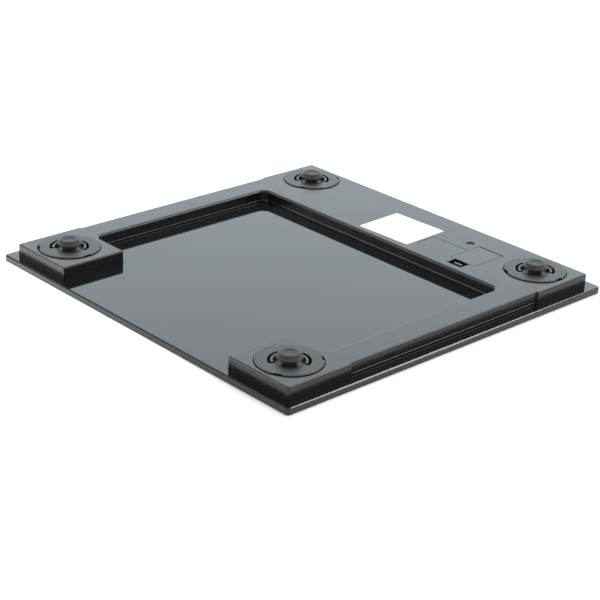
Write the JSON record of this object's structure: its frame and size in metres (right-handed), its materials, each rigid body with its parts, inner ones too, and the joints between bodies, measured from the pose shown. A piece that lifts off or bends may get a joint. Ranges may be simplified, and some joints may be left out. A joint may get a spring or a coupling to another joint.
{
  "type": "digital bathroom scale",
  "caption": "Flat square electronic bathroom scale with a glass platform and a U-shaped housing underneath, lying upside down with its rubber feet up.",
  "frame": {"origin": "centre of the glass platform's outer face, which lies on the surface as the scale lies upside down", "axes": "+Z from the platform up to the feet, +Y towards the display bar, +X to the right as seen with the feet up; for use the scale is turned over by 180 degrees about Y"},
  "size_m": [0.3, 0.3, 0.0203],
  "materials": {
    "platform_glass": "back-printed tempered glass, polished",
    "black_print": "glossy black ceramic print",
    "bond_tape": "black foam tape",
    "housing_abs": "glossy black moulding",
    "label_film": "blank white film",
    "latch_plastic": "glossy black moulding",
    "tray_plastic": "matte black moulding",
    "cell_steel": "polished nickel",
    "contact_brass": "spring strip",
    "button_plastic": "matte black",
    "switch_metal": "stamped can",
    "display_glass": "grey-green liquid crystal",
    "white_plastic": "matte white moulding",
    "connector_rubber": "layered rubber",
    "board_laminate": "green solder mask",
    "epoxy": "black epoxy",
    "board_part": "ceramic chips",
    "screw_steel": "zinc plated",
    "wire_sheath": "flexible sheath",
    "spring_steel": "stamped steel",
    "gauge_film": "polyimide film",
    "disc_plastic": "satin black moulding",
    "foot_rubber": "matte rubber"
  },
  "bodies": {
    "platform": {"glass_platform": "platform_glass", "back_print": "black_print", "bond_tape": "bond_tape", "base_housing": "housing_abs", "rating_label": "label_film", "battery_tray": "tray_plastic", "coin_cell": "cell_steel", "contact_negative": "contact_brass", "contact_positive": "contact_brass", "switch_body": "switch_metal", "display_panel": "display_glass", "display_holder": "white_plastic", "connector_strip": "connector_rubber", "main_board": "board_laminate", "controller_blob": "epoxy", "board_parts": "board_part", "board_screws": "screw_steel", "battery_wires": "wire_sheath", "cell_seat_toe_left": "white_plastic", "load_cell_toe_left": "spring_steel", "strain_gauge_toe_left": "gauge_film", "wires_toe_left": "wire_sheath", "cell_seat_toe_right": "white_plastic", "load_cell_toe_right": "spring_steel", "strain_gauge_toe_right": "gauge_film", "wires_toe_right": "wire_sheath", "cell_seat_heel_left": "white_plastic", "load_cell_heel_left": "spring_steel", "strain_gauge_heel_left": "gauge_film", "wires_heel_left": "wire_sheath", "cell_seat_heel_right": "white_plastic", "load_cell_heel_right": "spring_steel", "strain_gauge_heel_right": "gauge_film", "wires_heel_right": "wire_sheath"},
    "battery_door": {"battery_door": "housing_abs"},
    "door_latch": {"door_latch": "latch_plastic"},
    "unit_button": {"unit_button": "button_plastic", "switch_plunger": "button_plastic"},
    "foot_toe_left": {"foot_disc_toe_left": "disc_plastic", "rubber_foot_toe_left": "foot_rubber"},
    "foot_toe_right": {"foot_disc_toe_right": "disc_plastic", "rubber_foot_toe_right": "foot_rubber"},
    "foot_heel_left": {"foot_disc_heel_left": "disc_plastic", "rubber_foot_heel_left": "foot_rubber"},
    "foot_heel_right": {"foot_disc_heel_right": "disc_plastic", "rubber_foot_heel_right": "foot_rubber"}
  },
  "joints": [
    {"name": "door_hinge", "type": "hinge", "parent": "platform", "child": "battery_door", "pos_m": [0.0729, 0.1185, 0.01275], "axis": [-1, 0, 0], "range_deg": [0, 80]},
    {"name": "latch_press", "type": "slide", "parent": "battery_door", "child": "door_latch", "axis": [0, 1, 0], "range_m": [0, 0.0012], "stiffness_N_per_m": 900},
    {"name": "unit_press", "type": "slide", "parent": "platform", "child": "unit_button", "axis": [0, 0, -1], "range_m": [0, 0.0004], "stiffness_N_per_m": 3500},
    {"name": "foot_toe_left_float", "type": "slide", "parent": "platform", "child": "foot_toe_left", "axis": [0, 0, 1], "range_m": [0, 0.0006]},
    {"name": "foot_toe_right_float", "type": "slide", "parent": "platform", "child": "foot_toe_right", "axis": [0, 0, 1], "range_m": [0, 0.0006]},
    {"name": "foot_heel_left_float", "type": "slide", "parent": "platform", "child": "foot_heel_left", "axis": [0, 0, 1], "range_m": [0, 0.0006]},
    {"name": "foot_heel_right_float", "type": "slide", "parent": "platform", "child": "foot_heel_right", "axis": [0, 0, 1], "range_m": [0, 0.0006]}
  ]
}
